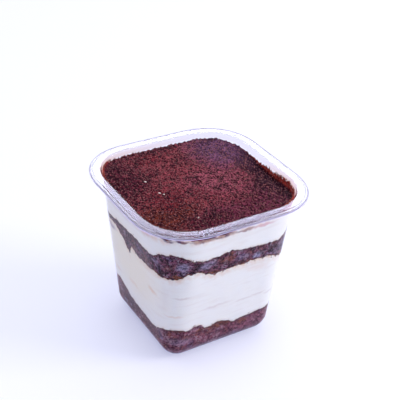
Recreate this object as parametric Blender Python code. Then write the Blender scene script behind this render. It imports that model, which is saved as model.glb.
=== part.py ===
"""Tiramisu in a clear square cup: sponge and cream in turn under a layer of cocoa.

Metres, +Z up. The origin is the middle of the cup's foot, on the surface it stands on.
The cup is one thin moulded shell. Each layer of the dessert is a closed solid that
fills the cup from wall to wall, a hair clear of the wall and of the layers beside it.
"""
from math import atan2, cos, degrees, exp, pi, radians, sin, sqrt

import bmesh
import bpy
from mathutils import Vector, noise

MM = 0.001

# Driving dimensions of the cup
CUP_HEIGHT = 78 * MM
RIM_HALF = 42.5 * MM
FLANGE_WIDTH = 4.5 * MM
MOUTH_CORNER = 23 * MM
WALL_TOP_HALF = 37 * MM
FOOT_HALF = 27.3 * MM
FOOT_CORNER = 7.5 * MM
FOOT_ROUND = 10 * MM
WALL = 0.6 * MM
CORNER_SQUARENESS = 2.3

# The flange: a round out of the mouth, a small step down, and a lip turned down at the edge
MOUTH_ROUND = 1.1 * MM
STEP_PLACE = 2.9 * MM
STEP_DROP = 0.25 * MM
LIP_ROUND = 0.7 * MM
LIP_DEPTH = 1.3 * MM
ROUND_STEPS = 3

# Solids that touch keep this space between them
GAP = 0.3 * MM

# How finely the outline, the wall and the layers are divided
SIDES = 4
CORNER_STEPS = 7
LAYER_SIDE_STEPS = 5
FOOT_STEPS = 5
SURFACE_RINGS = 5

# Where one layer meets the next: its level in mm, then its swells against the wall as
# direction in degrees seen from above, width in degrees and rise in mm
SPONGE_1_TOP = 16.2, (
    (150, 13, 4.8), (-134, 13, 4.0), (-112, 9, 2.4), (-93, 8, 1.6), (-162, 12, -1.3),
    (-20, 18, 1.8), (45, 16, 2.2), (95, 14, 1.6),
)
CREAM_1_TOP = 50.4, (
    (153, 10, 4.6), (-121, 8, 2.8), (-48, 9, -3.6),
    (8, 15, -1.5), (60, 14, 1.8), (112, 12, -1.4),
)
SPONGE_2_TOP = 59.0, (
    (149, 9, -1.5), (-134, 10, 4.8), (-94, 8, 1.2), (-58, 12, -1.6),
    (5, 15, 1.4), (52, 18, -1.2), (100, 15, 1.4),
)
CREAM_2_TOP = 71.5, (
    (-129, 8, 1.4), (-158, 8, -1.5), (-60, 14, 1.0), (0, 25, -0.8), (90, 20, 0.8),
)
COCOA_TOP = 75.2, (
    (-15, 30, -1.6), (-45, 12, 0.9), (137, 10, 0.8),
)

# How far a surface stands over its level in the middle, and how uneven it is, in mm
LAYER_CROWN = 0.5
COCOA_CROWN = 1.1
RIPPLE = 0.45
RIPPLE_SIZE = 9 * MM

MOUTH_HALF = RIM_HALF - FLANGE_WIDTH
INSIDE = WALL + GAP


def material(name, color, roughness, alpha=1, transmission=0):
    """A material with the real thing's colour and gloss."""
    made = bpy.data.materials.new(name)
    made.use_nodes = True
    shader = made.node_tree.nodes["Principled BSDF"]
    shader.inputs["Base Color"].default_value = (*color, 1)
    shader.inputs["Roughness"].default_value = roughness
    shader.inputs["Metallic"].default_value = 0
    shader.inputs["Alpha"].default_value = alpha
    shader.inputs["Transmission Weight"].default_value = transmission
    return made


def outline(half, corner, side_steps):
    """Points round a square of this half width, whose corners are squarish quarter rounds."""
    points = []
    straight = half - corner
    for side in range(SIDES):
        turn = side * pi / 2
        edge = []
        for step in range(CORNER_STEPS + 1):
            angle = step / CORNER_STEPS * pi / 2
            x = straight + corner * cos(angle) ** (2 / CORNER_SQUARENESS)
            y = straight + corner * sin(angle) ** (2 / CORNER_SQUARENESS)
            edge.append((x, y))
        for step in range(1, side_steps):
            edge.append((straight - 2 * straight * step / side_steps, half))
        points += [(x * cos(turn) - y * sin(turn), x * sin(turn) + y * cos(turn)) for x, y in edge]
    return points


def wall_size(z, inset):
    """Half width and corner size at height z of the wall's outer face, or of one inset from it."""
    rise = max(z, FOOT_ROUND) / CUP_HEIGHT
    half = FOOT_HALF + (WALL_TOP_HALF - FOOT_HALF) * rise - inset
    top_corner = MOUTH_CORNER - MOUTH_HALF + WALL_TOP_HALF
    corner = FOOT_CORNER + (top_corner - FOOT_CORNER) * rise - inset
    foot_round = FOOT_ROUND - inset
    depth = max(0.0, FOOT_ROUND - z)
    pull = foot_round - sqrt(max(0.0, foot_round ** 2 - depth ** 2))
    return half - pull, max(corner - pull, 0.5 * MM)


def add_object(name, rings, looks):
    """A closed object from rings of points, where a ring of one point is a pole."""
    bm = bmesh.new()
    rows = [[bm.verts.new(point) for point in ring] for ring in rings]
    for lower, upper in zip(rows, rows[1:]):
        count = max(len(lower), len(upper))
        for i in range(count):
            corners = [lower[i % len(lower)], lower[(i + 1) % len(lower)]]
            corners += [upper[(i + 1) % len(upper)], upper[i % len(upper)]]
            bm.faces.new(list(dict.fromkeys(corners)))
    for end in (rows[0], rows[-1]):
        if len(end) > 1:
            bm.faces.new(end)
    bmesh.ops.recalc_face_normals(bm, faces=bm.faces)
    # Layers that meet are split along the same diagonals, so the gap between them stays open
    bmesh.ops.triangulate(bm, faces=bm.faces, quad_method="SHORT_EDGE")
    mesh = bpy.data.meshes.new(name)
    bm.to_mesh(mesh)
    bm.free()
    mesh.materials.append(looks)
    mesh.shade_smooth()
    mesh.set_sharp_from_angle(angle=pi / 5)
    bpy.context.collection.objects.link(bpy.data.objects.new(name, mesh))


def arc(out, z, radius, start, end):
    """Points of a round in the profile's plane, from one angle in degrees to another."""
    for step in range(ROUND_STEPS + 1):
        angle = radians(start + (end - start) * step / ROUND_STEPS)
        yield out + radius * cos(angle), z + radius * sin(angle)


def make_cup():
    """One shell: up the outside, over the flange with its lip, and down the inside."""
    rings = []

    def add_wall(z, inset):
        rings.append([(x, y, z) for x, y in outline(*wall_size(z, inset), 1)])

    def add_flange(out, z):
        rings.append([(x, y, z) for x, y in outline(MOUTH_HALF + out, MOUTH_CORNER + out, 1)])

    for step in range(FOOT_STEPS + 1):
        add_wall(FOOT_ROUND * (1 - cos(step / FOOT_STEPS * pi / 2)), 0)
    underside = CUP_HEIGHT - WALL
    mouth_middle = CUP_HEIGHT - MOUTH_ROUND
    lip_inner = FLANGE_WIDTH - WALL
    for out, z in arc(0, mouth_middle, MOUTH_ROUND - WALL, 180, 90):
        add_flange(out, z)
    add_flange(STEP_PLACE, underside)
    add_flange(STEP_PLACE + STEP_DROP, underside - STEP_DROP)
    add_flange(lip_inner, underside - STEP_DROP)
    add_flange(lip_inner, CUP_HEIGHT - LIP_DEPTH)
    add_flange(FLANGE_WIDTH, CUP_HEIGHT - LIP_DEPTH)
    for out, z in arc(FLANGE_WIDTH - LIP_ROUND, CUP_HEIGHT - STEP_DROP - LIP_ROUND, LIP_ROUND, 0, 90):
        add_flange(out, z)
    add_flange(STEP_PLACE + STEP_DROP, CUP_HEIGHT - STEP_DROP)
    add_flange(STEP_PLACE, CUP_HEIGHT)
    for out, z in arc(0, mouth_middle, MOUTH_ROUND, 90, 180):
        add_flange(out, z)
    for step in range(FOOT_STEPS + 1):
        add_wall(FOOT_ROUND - (FOOT_ROUND - WALL) * sin(step / FOOT_STEPS * pi / 2), WALL)
    add_object("cup", rings, material("clear_plastic", (0.9, 0.92, 0.97), 0.05, 0.3, 0.9))


def surface_height(edge, crown, x, y, share):
    """Height of a layer's surface over x, y, where share is 0 in the middle and 1 at the wall."""
    level, bumps = edge
    direction = degrees(atan2(y, x))
    rise = 0
    for toward, width, height in bumps:
        away = (direction - toward + 180) % 360 - 180
        rise += height * exp(-(away / width) ** 2)
    ripple = RIPPLE * noise.noise(Vector((x, y, level * MM)) / RIPPLE_SIZE)
    return (level + rise * share ** 2 + crown * (1 - share ** 2) + ripple) * MM


def surface_rings(edge, crown, offset):
    """A layer's upper or lower surface as rings of points, from the wall to the middle."""
    nominal = outline(*wall_size(edge[0] * MM, INSIDE), LAYER_SIDE_STEPS)
    rim = []
    for column, (x, y) in enumerate(nominal):
        z = surface_height(edge, crown, x, y, 1) + offset
        rim.append((*outline(*wall_size(z, INSIDE), LAYER_SIDE_STEPS)[column], z))
    rings = [rim]
    for ring in range(1, SURFACE_RINGS):
        share = 1 - ring / SURFACE_RINGS
        inner = [(x * share, y * share) for x, y, z in rim]
        rings.append([(x, y, surface_height(edge, crown, x, y, share) + offset) for x, y in inner])
    rings.append([(0, 0, surface_height(edge, crown, 0, 0, 0) + offset)])
    return rings


def foot_rings():
    """The flat bottom of the lowest layer and its rounded edge, from the middle outwards."""
    rings = [[(0, 0, INSIDE)]]
    for step in range(FOOT_STEPS + 1):
        z = FOOT_ROUND - (FOOT_ROUND - INSIDE) * cos(step / FOOT_STEPS * pi / 2)
        rings.append([(x, y, z) for x, y in outline(*wall_size(z, INSIDE), LAYER_SIDE_STEPS)])
    return rings


def make_layer(name, bottom, top, wall_steps, looks):
    """A layer from its bottom rings, middle first, up the wall to its top rings, rim first."""
    low, high = bottom[-1], top[0]
    between = []
    for step in range(1, wall_steps):
        ring = []
        for column in range(len(low)):
            z = low[column][2] + (high[column][2] - low[column][2]) * step / wall_steps
            ring.append((*outline(*wall_size(z, INSIDE), LAYER_SIDE_STEPS)[column], z))
        between.append(ring)
    add_object(name, bottom + between + top, looks)


def build():
    """The cup, then its layers from the bottom to the top."""
    make_cup()
    sponge = material("sponge", (0.075, 0.03, 0.028), 0.85)
    cream = material("cream", (0.84, 0.84, 0.87), 0.5)
    cocoa = material("cocoa", (0.11, 0.022, 0.016), 0.95)
    layers = [
        ("bottom_sponge", SPONGE_1_TOP, LAYER_CROWN, 1, sponge),
        ("lower_cream", CREAM_1_TOP, LAYER_CROWN, 3, cream),
        ("middle_sponge", SPONGE_2_TOP, LAYER_CROWN, 2, sponge),
        ("upper_cream", CREAM_2_TOP, LAYER_CROWN, 2, cream),
        ("cocoa_topping", COCOA_TOP, COCOA_CROWN, 1, cocoa),
    ]
    bottom = foot_rings()
    for name, edge, crown, wall_steps, looks in layers:
        top = surface_rings(edge, crown, -GAP / 2)
        make_layer(name, bottom, top, wall_steps, looks)
        bottom = list(reversed(surface_rings(edge, crown, GAP / 2)))


for old in list(bpy.data.objects):
    bpy.data.objects.remove(old)
build()
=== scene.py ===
"""Tiramisu in a clear square cup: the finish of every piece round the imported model.

Lengths are metres, and MM turns millimetres into them. Directions round the cup are degrees
seen from above, from +X towards +Y.
"""

from math import cos, pi, radians, sin, tau

import bmesh
import bpy
import numpy as np
from mathutils import Euler, Matrix, Vector, noise


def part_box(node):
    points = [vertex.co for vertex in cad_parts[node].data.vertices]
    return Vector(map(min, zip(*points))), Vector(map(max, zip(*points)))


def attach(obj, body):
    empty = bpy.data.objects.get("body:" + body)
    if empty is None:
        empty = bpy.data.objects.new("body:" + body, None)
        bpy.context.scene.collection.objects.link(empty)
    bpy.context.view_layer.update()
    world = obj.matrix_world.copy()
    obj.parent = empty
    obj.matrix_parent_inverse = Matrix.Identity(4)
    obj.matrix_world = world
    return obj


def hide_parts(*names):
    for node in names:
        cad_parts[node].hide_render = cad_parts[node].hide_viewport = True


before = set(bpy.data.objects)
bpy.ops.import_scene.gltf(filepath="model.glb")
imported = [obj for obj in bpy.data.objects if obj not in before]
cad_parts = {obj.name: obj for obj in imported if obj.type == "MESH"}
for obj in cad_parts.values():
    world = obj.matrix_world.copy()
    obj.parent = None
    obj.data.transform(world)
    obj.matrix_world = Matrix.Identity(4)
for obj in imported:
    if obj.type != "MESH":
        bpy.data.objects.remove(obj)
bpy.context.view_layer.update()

# The cup: one sheet of clear plastic, drawn hot over a square plug. Its wall leans outwards from
# a rounded foot to a wide mouth, and turns over into a flange with a low step and a lip turned
# down. A thin film of cocoa clings to the inside of its mouth.
MM = 0.001
cup_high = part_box("cup")[1]
CUP_HEIGHT = cup_high.z
FLANGE_WIDTH = 4.5 * MM
MOUTH_HALF = cup_high.x - FLANGE_WIDTH
MOUTH_CORNER = 23 * MM
WALL_TOP_HALF = 37 * MM
WALL_TOP_CORNER = MOUTH_CORNER - MOUTH_HALF + WALL_TOP_HALF
FOOT_HALF = 27.3 * MM
FOOT_CORNER = 7.5 * MM
FOOT_ROUND = 10 * MM
SMALLEST_CORNER = 1.5 * MM
WALL = 0.6 * MM
CORNER_SQUARENESS = 2.3
MOUTH_ROUND = 1.1 * MM
STEP_PLACE = 2.9 * MM
STEP_DROP = 0.25 * MM
LIP_ROUND = 0.7 * MM
LIP_DEPTH = 1.3 * MM
HOLD = 0.12 * MM
FILM_FOOT = 75 * MM
FILM_FULL = 76 * MM
SEAM = 0.001 * MM
CUP_CORNER_STEPS = 22
CUP_SIDE_STEPS = 6
SHARP_EDGE = radians(50)


def outline(corner_steps, side_steps):
    """Columns round a square: the corner each belongs to, and its way out of the corner's middle."""
    angle = np.linspace(0, pi / 2, corner_steps + 1)
    round_way = np.column_stack([np.cos(angle), np.sin(angle)]) ** (2 / CORNER_SQUARENESS)
    along = np.linspace(1, -1, side_steps + 1)[1:-1]
    ahead = np.ones_like(along)
    corner = np.vstack([np.ones_like(round_way), np.column_stack([along, ahead])])
    way = np.vstack([round_way, np.column_stack([0 * along, ahead])])
    quarters = [np.array([[cos(a), sin(a)], [-sin(a), cos(a)]]) for a in (0, pi / 2, pi, 1.5 * pi)]
    return np.vstack([corner @ q for q in quarters]), np.vstack([way @ q for q in quarters])


def wall_size(z, inset):
    """Straight half side and corner size of the wall's outer face at height z, or inset from it."""
    rise = np.maximum(z, FOOT_ROUND) / CUP_HEIGHT
    half = FOOT_HALF + (WALL_TOP_HALF - FOOT_HALF) * rise - inset
    corner = FOOT_CORNER + (WALL_TOP_CORNER - FOOT_CORNER) * rise - inset
    foot_round = FOOT_ROUND - inset
    depth = np.maximum(FOOT_ROUND - z, 0)
    pull = foot_round - np.sqrt(np.maximum(foot_round ** 2 - depth ** 2, 0))
    corner = np.maximum(corner - pull, SMALLEST_CORNER)
    return half - pull - corner, corner


def arc(out, z, radius, start, end, steps=6):
    """Points of a round in the section, from one angle in degrees to another."""
    for angle in np.radians(np.linspace(start, end, steps + 1)):
        yield out + radius * cos(angle), z + radius * sin(angle)


def cup_section(foot_steps=14, wall_steps=12):
    """Rows of straight half side, corner size and height: up the outside and down the inside."""
    rows = [(0, 0, 0)]
    straight_wall = [*np.linspace(FOOT_ROUND, CUP_HEIGHT - MOUTH_ROUND, wall_steps)[1:-1]]
    straight_wall += [FILM_FOOT, FILM_FULL]
    outside = [FOOT_ROUND * (1 - cos(a)) for a in np.linspace(0, pi / 2, foot_steps)] + straight_wall
    rows += [(*wall_size(z, 0), z) for z in outside]
    underside = CUP_HEIGHT - WALL
    lip_inner = FLANGE_WIDTH - WALL
    step_end = STEP_PLACE + STEP_DROP
    flange = list(arc(0, CUP_HEIGHT - MOUTH_ROUND, MOUTH_ROUND - WALL, 180, 90))
    flange += [(HOLD, underside), (STEP_PLACE - HOLD, underside), (STEP_PLACE, underside)]
    flange += [(out, underside - STEP_DROP) for out in (step_end, step_end + HOLD, lip_inner)]
    flange += [(lip_inner, CUP_HEIGHT - LIP_DEPTH), (FLANGE_WIDTH, CUP_HEIGHT - LIP_DEPTH)]
    flange += arc(FLANGE_WIDTH - LIP_ROUND, CUP_HEIGHT - STEP_DROP - LIP_ROUND, LIP_ROUND, 0, 90)
    flange += [(out, CUP_HEIGHT - STEP_DROP) for out in (step_end + HOLD, step_end)]
    flange += [(out, CUP_HEIGHT) for out in (STEP_PLACE, STEP_PLACE - HOLD, HOLD)]
    flange += arc(0, CUP_HEIGHT - MOUTH_ROUND, MOUTH_ROUND, 90, 180)
    rows += [(MOUTH_HALF - MOUTH_CORNER, MOUTH_CORNER + out, z) for out, z in flange]
    inside = straight_wall[::-1]
    inside += [FOOT_ROUND - (FOOT_ROUND - WALL) * sin(a) for a in np.linspace(0, pi / 2, foot_steps)]
    rows += [(*wall_size(z, WALL), z) for z in inside]
    rows.append((0, 0, WALL))
    return rows


def add_node(tree, kind, inputs=(), **settings):
    """Adds a node. Inputs maps a socket's name or number to a value or to a node's output."""
    made = tree.nodes.new(kind)
    for name, value in settings.items():
        setattr(made, name, value)
    for key, value in dict(inputs).items():
        if isinstance(value, bpy.types.NodeSocket):
            tree.links.new(value, made.inputs[key])
        else:
            made.inputs[key].default_value = value
    return made


def new_tree(name, kind, inputs, outputs):
    """A node tree with named sockets, and its input and output nodes."""
    tree = bpy.data.node_groups.new(name, kind)
    for end, sockets in (("INPUT", inputs), ("OUTPUT", outputs)):
        for socket, socket_kind in sockets:
            tree.interface.new_socket(socket, in_out=end, socket_type="NodeSocket" + socket_kind)
    return tree, tree.nodes.new("NodeGroupInput"), tree.nodes.new("NodeGroupOutput")


def shell_tree():
    """Carries a section round an outline: every row of the one at every column of the other."""
    tree, given, result = new_tree(
        "shell_round_outline", "GeometryNodeTree",
        [("Section", "Geometry"), ("Corners", "Object"), ("Ways Out", "Object"), ("Seam", "Float"),
         ("Plastic", "Material")],
        [("Shell", "Geometry")])
    carriers = {"Section": given.outputs["Section"]}
    for name in ("Corners", "Ways Out"):
        read = add_node(tree, "GeometryNodeObjectInfo", {"Object": given.outputs[name]})
        carriers[name] = read.outputs["Geometry"]
    counts = []
    for name in ("Section", "Corners"):
        size = add_node(tree, "GeometryNodeAttributeDomainSize", {0: carriers[name]})
        counts.append(size.outputs["Point Count"])
    round_trip = add_node(tree, "FunctionNodeIntegerMath", {0: counts[1], 1: 1}).outputs[0]
    grid = add_node(tree, "GeometryNodeMeshGrid", {"Vertices X": counts[0], "Vertices Y": round_trip})
    index = add_node(tree, "GeometryNodeInputIndex").outputs[0]
    row = add_node(tree, "FunctionNodeIntegerMath", {0: index, 1: round_trip}, operation="DIVIDE_FLOOR")
    step = add_node(tree, "FunctionNodeIntegerMath", {0: index, 1: round_trip}, operation="MODULO")
    column = add_node(tree, "FunctionNodeIntegerMath", {0: step.outputs[0], 1: counts[1]},
                      operation="MODULO")
    place = add_node(tree, "GeometryNodeInputPosition").outputs[0]
    found = {}
    for name, at in (("Section", row), ("Corners", column), ("Ways Out", column)):
        sample = add_node(tree, "GeometryNodeSampleIndex", data_type="FLOAT_VECTOR")
        for socket, value in (("Geometry", carriers[name]), ("Value", place), ("Index", at.outputs[0])):
            tree.links.new(value, sample.inputs[socket])
        found[name] = sample.outputs["Value"]
    size = add_node(tree, "ShaderNodeSeparateXYZ", {0: found["Section"]}).outputs
    straight = add_node(tree, "ShaderNodeVectorMath", {0: found["Corners"], "Scale": size["X"]},
                        operation="SCALE").outputs[0]
    height = add_node(tree, "ShaderNodeCombineXYZ", {"Z": size["Z"]}).outputs[0]
    middle = add_node(tree, "ShaderNodeVectorMath", {0: straight, 1: height}).outputs[0]
    corner = add_node(tree, "ShaderNodeVectorMath", {0: found["Ways Out"], "Scale": size["Y"]},
                      operation="SCALE").outputs[0]
    point = add_node(tree, "ShaderNodeVectorMath", {0: middle, 1: corner}).outputs[0]
    shaped = add_node(tree, "GeometryNodeSetPosition",
                      {"Geometry": grid.outputs["Mesh"], "Position": point}).outputs[0]
    closed = add_node(tree, "GeometryNodeMergeByDistance",
                      {"Geometry": shaped, "Distance": given.outputs["Seam"]}).outputs[0]
    real = add_node(tree, "GeometryNodeRealizeInstances", {"Geometry": closed}).outputs[0]
    finished = add_node(tree, "GeometryNodeSetMaterial",
                        {"Geometry": real, "Material": given.outputs["Plastic"]}).outputs[0]
    tree.links.new(finished, result.inputs[0])
    return tree


def run_tree(name, base, tree, values):
    """Runs a geometry tree on the base object and keeps what it makes as a plain mesh."""
    modifier = base.modifiers.new("making", "NODES")
    modifier.node_group = tree
    for item in tree.interface.items_tree:
        if item.in_out == "INPUT" and item.name in values:
            modifier[item.identifier] = values[item.name]
    graph = bpy.context.evaluated_depsgraph_get()
    mesh = bpy.data.meshes.new_from_object(base.evaluated_get(graph))
    base.modifiers.remove(modifier)
    mesh.name = name
    made = bpy.data.objects.new(name, mesh)
    bpy.context.collection.objects.link(made)
    return made


def mesh_object(name, points, faces=()):
    """An object with a mesh of these points and faces, or of loose points for a tree to read."""
    mesh = bpy.data.meshes.new(name)
    mesh.from_pydata(points, [], faces)
    made = bpy.data.objects.new(name, mesh)
    bpy.context.collection.objects.link(made)
    return made


def mesh_points(made):
    """The points of an object's mesh, a row each."""
    points = np.empty(len(made.data.vertices) * 3, np.float32)
    made.data.vertices.foreach_get("co", points)
    return points.reshape(-1, 3)


def add_values(made, name, values):
    """Stores a number for each point of an object's mesh; points past the list get its last one."""
    attribute = made.data.attributes.new(name, "FLOAT", "POINT")
    full = np.full(len(made.data.vertices), values[-1], np.float32)
    full[:len(values)] = values
    attribute.data.foreach_set("value", full)


def direction(points):
    """Degrees round the cup, from +X towards +Y."""
    return np.degrees(np.arctan2(points[..., 1], points[..., 0]))


def new_finish(name, **values):
    """A material, its tree and its Principled shader with these plain values."""
    made = bpy.data.materials.new(name)
    made.use_nodes = True
    shader = made.node_tree.nodes["Principled BSDF"]
    for socket, value in values.items():
        shader.inputs[socket.replace("_", " ")].default_value = value
    return made, made.node_tree, shader


def millimetres(tree):
    """The point on the object, in millimetres."""
    place = add_node(tree, "ShaderNodeTexCoord").outputs["Object"]
    return add_node(tree, "ShaderNodeMapping", {"Vector": place, "Scale": (1 / MM,) * 3}).outputs[0]


def mixed(tree, factor, first, second):
    """The colour between two colours."""
    mix = add_node(tree, "ShaderNodeMix", {0: factor, 6: first, 7: second}, data_type="RGBA")
    return mix.outputs[2]


def ranged(tree, value, start, end, low=0.0, high=1.0):
    """A value carried from one range to another and kept inside it."""
    return add_node(tree, "ShaderNodeMapRange", {0: value, 1: start, 2: end, 3: low, 4: high}).outputs[0]


def product(tree, first, second):
    """Two values multiplied."""
    return add_node(tree, "ShaderNodeMath", {0: first, 1: second}, operation="MULTIPLY").outputs[0]


def speckle(tree, place, scale, detail=2, roughness=0.5):
    """Soft noise over the surface, finer as the scale grows."""
    return add_node(tree, "ShaderNodeTexNoise", {
        "Vector": place, "Scale": scale, "Detail": detail, "Roughness": roughness}).outputs[0]


def stored(tree, name):
    """The value that the mesh keeps under this name."""
    return add_node(tree, "ShaderNodeAttribute", attribute_name=name).outputs["Fac"]


def raise_bumps(tree, shader, height, strength, distance):
    """Lets the light see this height as bumps."""
    bump = add_node(tree, "ShaderNodeBump",
                    {"Height": height, "Strength": strength, "Distance": distance})
    tree.links.new(bump.outputs[0], shader.inputs["Normal"])


SHEET_TINT = (0.93, 0.93, 0.975, 1)
# The lip tint is painted shade, for the dark shadow line under the lip and the dark refraction in the rim;
# the shares below say how much of it the lip, flange and wall get.
LIP_PAINTED_SHADE = (0.16, 0.14, 0.2, 1)
FILM_TINT = (0.76, 0.42, 0.3, 1)
COCOA_FILM = (
    (-60, 0.0), (-45, 0.6), (-30, 0.7), (-15, 0.4), (5, 0.1), (60, 0.1), (95, 0.3), (125, 0.5),
    (138, 1.0), (152, 1.0), (165, 0.8), (235, 0.6), (265, 0.0),
)
LIP_SHADE_SHARE = 0.5
FLANGE_SHADE_SHARE = 0.4
WALL_SHADE_SHARE = 0.15
SHADE_REACH = 0.3 * MM
FILM_REACH = 0.1 * MM
LIP_SHADE_FADE = (0.35, 0.6)


def clear_plastic():
    """Thin clear sheet, a little uneven from drawing, that lets soft light through to the filling.
    Its lip, flange and the top of its wall are tinted darker: painted shade along the rim.
    """
    made, tree, shader = new_finish(
        "clear_plastic", IOR=1.17, Transmission_Weight=1)
    place = millimetres(tree)
    rim_shade = stored(tree, "rim_shade")
    clear = mixed(tree, rim_shade, SHEET_TINT, LIP_PAINTED_SHADE)
    filmed = mixed(tree, stored(tree, "film"), clear, FILM_TINT)
    tree.links.new(filmed, shader.inputs["Base Color"])
    haze = ranged(tree, speckle(tree, place, 0.12, 1), 0, 1, 0.06, 0.11)
    worn = ranged(tree, rim_shade, FLANGE_SHADE_SHARE + 0.02, 1, 0, 0.35)
    blurred = add_node(tree, "ShaderNodeMath", {0: worn, 1: haze})
    tree.links.new(blurred.outputs[0], shader.inputs["Roughness"])
    raise_bumps(tree, shader, speckle(tree, place, 0.09, 1), 0.02, 0.5 * MM)
    rays = add_node(tree, "ShaderNodeLightPath").outputs
    soft = add_node(tree, "ShaderNodeMath",
                    {0: rays["Is Shadow Ray"], 1: rays["Is Diffuse Ray"]}, operation="MAXIMUM")
    through = add_node(tree, "ShaderNodeBsdfTransparent", {"Color": (0.97, 0.965, 0.99, 1)})
    both = add_node(tree, "ShaderNodeMixShader",
                    {0: soft.outputs[0], 1: shader.outputs[0], 2: through.outputs[0]})
    tree.links.new(both.outputs[0], tree.nodes["Material Output"].inputs["Surface"])
    return made


cup_corners, cup_ways = outline(CUP_CORNER_STEPS, CUP_SIDE_STEPS)
helpers = [
    mesh_object("cup_section", cup_section()),
    mesh_object("cup_corners", [(x, y, 0) for x, y in cup_corners]),
    mesh_object("cup_ways_out", [(x, y, 0) for x, y in cup_ways]),
]
cup = run_tree("clear_cup", helpers[0], shell_tree(), {
    "Corners": helpers[1], "Ways Out": helpers[2], "Seam": SEAM,
    "Plastic": clear_plastic()})
for helper in helpers:
    bpy.data.objects.remove(helper)
shell = bmesh.new()
shell.from_mesh(cup.data)
bmesh.ops.recalc_face_normals(shell, faces=shell.faces)
shell.to_mesh(cup.data)
shell.free()
cup.data.shade_smooth()
cup.data.set_sharp_from_angle(angle=SHARP_EDGE)
cup_points = mesh_points(cup)
# Painted shade over the rim: most at the lower edge of the turned-down lip, less on the flange and a little
# on the wall just under the mouth.
past_straight = np.maximum(abs(cup_points[:, :2]) - MOUTH_HALF + MOUTH_CORNER, 0)
past_mouth = (past_straight ** CORNER_SQUARENESS).sum(1) ** (1 / CORNER_SQUARENESS) - MOUTH_CORNER
above_lip = (cup_points[:, 2] - CUP_HEIGHT + LIP_DEPTH) / MM
rim_shade_share = np.interp(above_lip, LIP_SHADE_FADE, (1, LIP_SHADE_SHARE))
above_film = cup_points[:, 2] > FILM_FULL - SEAM
top_shade_share = np.where(past_mouth > -SHADE_REACH, FLANGE_SHADE_SHARE, WALL_SHADE_SHARE * above_film)
rim_shade_share = np.where(past_mouth > FLANGE_WIDTH - WALL * 1.1, rim_shade_share, top_shade_share)
film_turn, film_share = np.array(COCOA_FILM).T
cup_turn = direction(cup_points)
film_height = np.interp(cup_points[:, 2], (FILM_FOOT, FILM_FULL, CUP_HEIGHT), (0, 1, 0.3))
film = np.interp(cup_turn, film_turn, film_share, period=360) * film_height * (past_mouth < FILM_REACH)
add_values(cup, "rim_shade", rim_shade_share)
add_values(cup, "film", film)
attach(cup, "root")
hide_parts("cup")

# The sponge layers: ladyfinger sponge soaked in coffee, one pressed into the foot of the cup and
# one halfway up. They touch the wall with a crumb full of pores, and wet patches shine through.
# Each layer of the dessert is a solid that reaches just into the wall, under a ragged edge.
REACH = WALL / 2
HIDDEN_STEP = 0.1 * MM
INNER_RINGS = (0.9, 0.5)
CORNER_STEPS = 110
SIDE_STEPS = 130
SOFTENED = 9
TEAR_SIZE = 4 * MM
FINE_TEAR_SIZE = 1.5 * MM
corners, ways = outline(CORNER_STEPS, SIDE_STEPS)
COLUMNS = len(corners)
SPONGE_1_TOP = (
    (-172, 15.2), (-154, 14.6), (-144, 18.1), (-136, 19.8), (-128, 19.6), (-124, 18.4), (-120, 19.7),
    (-114, 19.4), (-111, 17.2), (-107, 16.8), (-99, 17.6), (-93, 18.0), (-82, 14.8), (-62, 15.8),
    (-46, 16.6), (-10, 15.0), (25, 17.5), (60, 16.0), (95, 18.0), (125, 17.0), (148, 21.4),
    (154, 19.1), (161, 18.1), (166, 16.3),
)
CREAM_1_TOP = (
    (-179, 51.5), (-168, 50.0), (-149, 50.7), (-142, 50.0), (-132, 49.8), (-129, 51.3), (-125, 52.9),
    (-121, 53.2), (-112, 50.9), (-106, 49.3), (-99, 50.2), (-71, 50.2), (-62, 50.4), (-50, 46.5),
    (-20, 48.5), (15, 50.0), (60, 52.0), (110, 49.0), (140, 53.5), (153, 54.9), (159, 53.9),
    (165, 51.5), (169, 50.3), (172, 48.0), (174, 46.4), (175.5, 47.8), (177, 45.2), (178.6, 48.6),
)
SPONGE_2_TOP = (
    (-178, 59.0), (-165, 59.7), (-151, 59.4), (-148, 59.9), (-140, 63.0), (-132, 63.7), (-128, 62.6),
    (-123, 60.4), (-117, 59.3), (-105, 59.4), (-95, 60.3), (-81, 58.7), (-62, 57.9), (-55, 57.4),
    (-45, 61.0), (-30, 58.0), (5, 60.0), (52, 58.0), (100, 60.0), (130, 58.0), (149, 57.6),
    (163, 58.6),
)


def wall_points(z, inset):
    """Points at these heights in every column, this far in from the wall's outer face."""
    straight, corner = wall_size(z, inset)
    flat = corners * straight[..., None] + ways * corner[..., None]
    return np.dstack([flat, z]) if z.ndim > 1 else np.column_stack([flat, z])


def rough_noise(points, size, octaves):
    """Uneven values from about -1 to 1 at each point, with lumps of about this size."""
    flat = points.reshape(-1, 3) / size
    values = [noise.fractal(Vector(point), 0.8, 2, octaves) for point in flat.tolist()]
    return np.array(values).reshape(points.shape[:-1])


def edge_line(way_points, tear):
    """Height of an edge in each column, through its way points in degrees and mm, and torn."""
    turn, level = np.array(way_points).T
    around = direction(wall_points(np.full(COLUMNS, level.mean() * MM), REACH))
    height = np.interp(around, turn, level, period=360) * MM
    window = np.hanning(SOFTENED)
    spare = SOFTENED // 2
    wide = np.concatenate([height[-spare:], height, height[:spare]])
    height = np.convolve(wide, window / window.sum(), "valid")
    places = wall_points(height, REACH)
    height += tear * rough_noise(places, TEAR_SIZE, 2)
    return height + tear * 1.3 * rough_noise(places, FINE_TEAR_SIZE, 2)


def ring_faces(first, rings):
    """Faces between this many rings of points, counted from the first ring's first point."""
    column = np.arange(COLUMNS)
    after = (column + 1) % COLUMNS
    faces = []
    for lower in range(first, first + (rings - 1) * COLUMNS, COLUMNS):
        upper = lower + COLUMNS
        faces += np.column_stack([lower + column, lower + after, upper + after, upper + column]).tolist()
    return faces


def fan_faces(middle, ring):
    """Faces that close, from below, the ring that starts at this point, round its middle point."""
    column = list(range(ring, ring + COLUMNS))
    return [(middle, b, a) for a, b in zip(column, column[1:] + column[:1])]


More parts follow.
